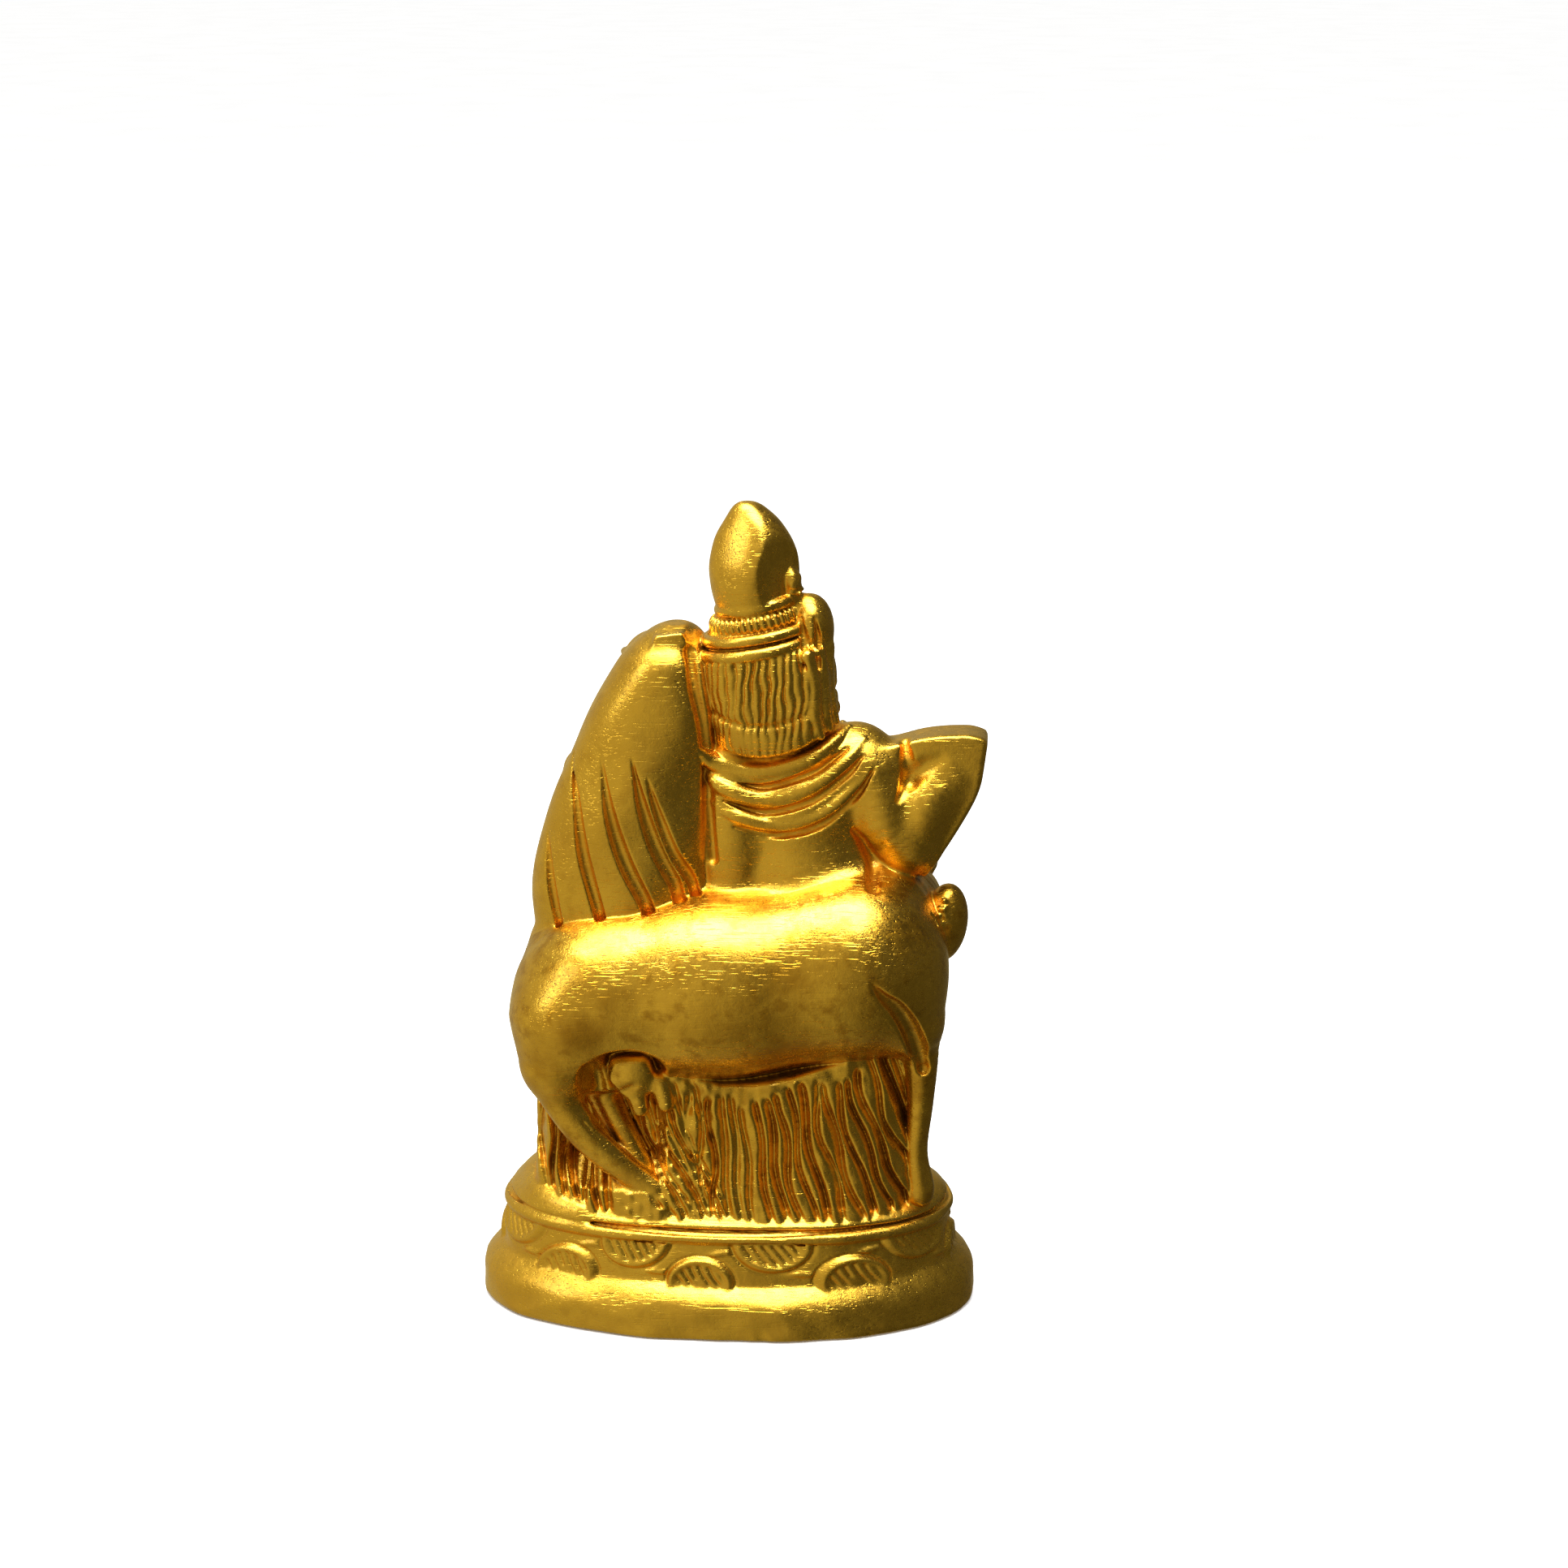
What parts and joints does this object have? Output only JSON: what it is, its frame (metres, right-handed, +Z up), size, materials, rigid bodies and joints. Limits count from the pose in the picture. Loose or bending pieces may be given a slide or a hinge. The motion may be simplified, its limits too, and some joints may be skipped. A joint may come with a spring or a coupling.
{
  "type": "brass shrine figurine",
  "caption": "Small cast brass shrine group: a crowned flute player and a veiled consort standing before a cow on an oval plinth",
  "frame": {"origin": "centre of the bounding box at the level of the plinth's underside", "axes": "+Z up, -Y the way the two figures face, +X to the figures' left, the end of the cow's rump"},
  "size_m": [0.046, 0.0264, 0.075],
  "materials": {
    "brass_plinth": "satin cast brass, hand filed, brown tarnish in the recesses of the carved band",
    "brass_cow": "satin polished cast brass with fine scratches and casting pits",
    "brass_drapery": "satin cast brass, bright on the folds and brown in the grooves",
    "brass_ornament": "satin cast brass, bright on the raised bands and brown between them",
    "brass_figures": "satin polished cast brass with fine scratches"
  },
  "bodies": {
    "root": {"consort_brow_band": "brass_ornament", "consort_feet": "brass_figures", "consort_hands": "brass_figures", "consort_head": "brass_figures", "consort_left_arm": "brass_figures", "consort_lotus_bud": "brass_ornament", "consort_necklace": "brass_ornament", "consort_right_arm": "brass_figures", "consort_skirt": "brass_drapery", "consort_torso": "brass_figures", "consort_veil": "brass_drapery", "cow_body": "brass_cow", "cow_ears": "brass_cow", "cow_foreleg_far": "brass_cow", "cow_foreleg_near": "brass_cow", "cow_head": "brass_cow", "cow_hind_leg_far": "brass_cow", "cow_hind_leg_near": "brass_cow", "cow_hooves": "brass_cow", "cow_horns": "brass_cow", "cow_neck": "brass_cow", "cow_tail": "brass_cow", "cow_udder": "brass_cow", "crown_cap": "brass_ornament", "crown_crest": "brass_ornament", "crown_finial": "brass_ornament", "crown_lower_bands": "brass_ornament", "crown_side_plume": "brass_ornament", "crown_upper_band": "brass_ornament", "flute": "brass_ornament", "player_crossed_leg": "brass_figures", "player_earrings": "brass_ornament", "player_feet": "brass_figures", "player_garment": "brass_drapery", "player_hair": "brass_figures", "player_hands": "brass_figures", "player_head": "brass_figures", "player_left_arm": "brass_figures", "player_necklace_1": "brass_ornament", "player_necklace_2": "brass_ornament", "player_necklace_3": "brass_ornament", "player_right_arm": "brass_figures", "player_sash": "brass_drapery", "player_side_lock": "brass_figures", "player_standing_leg": "brass_figures", "player_torso": "brass_figures", "pleated_screen": "brass_drapery", "plinth_deck": "brass_plinth", "plinth_foot": "brass_plinth", "plinth_petal_band": "brass_plinth", "plinth_rim": "brass_plinth"}
  },
  "joints": []
}
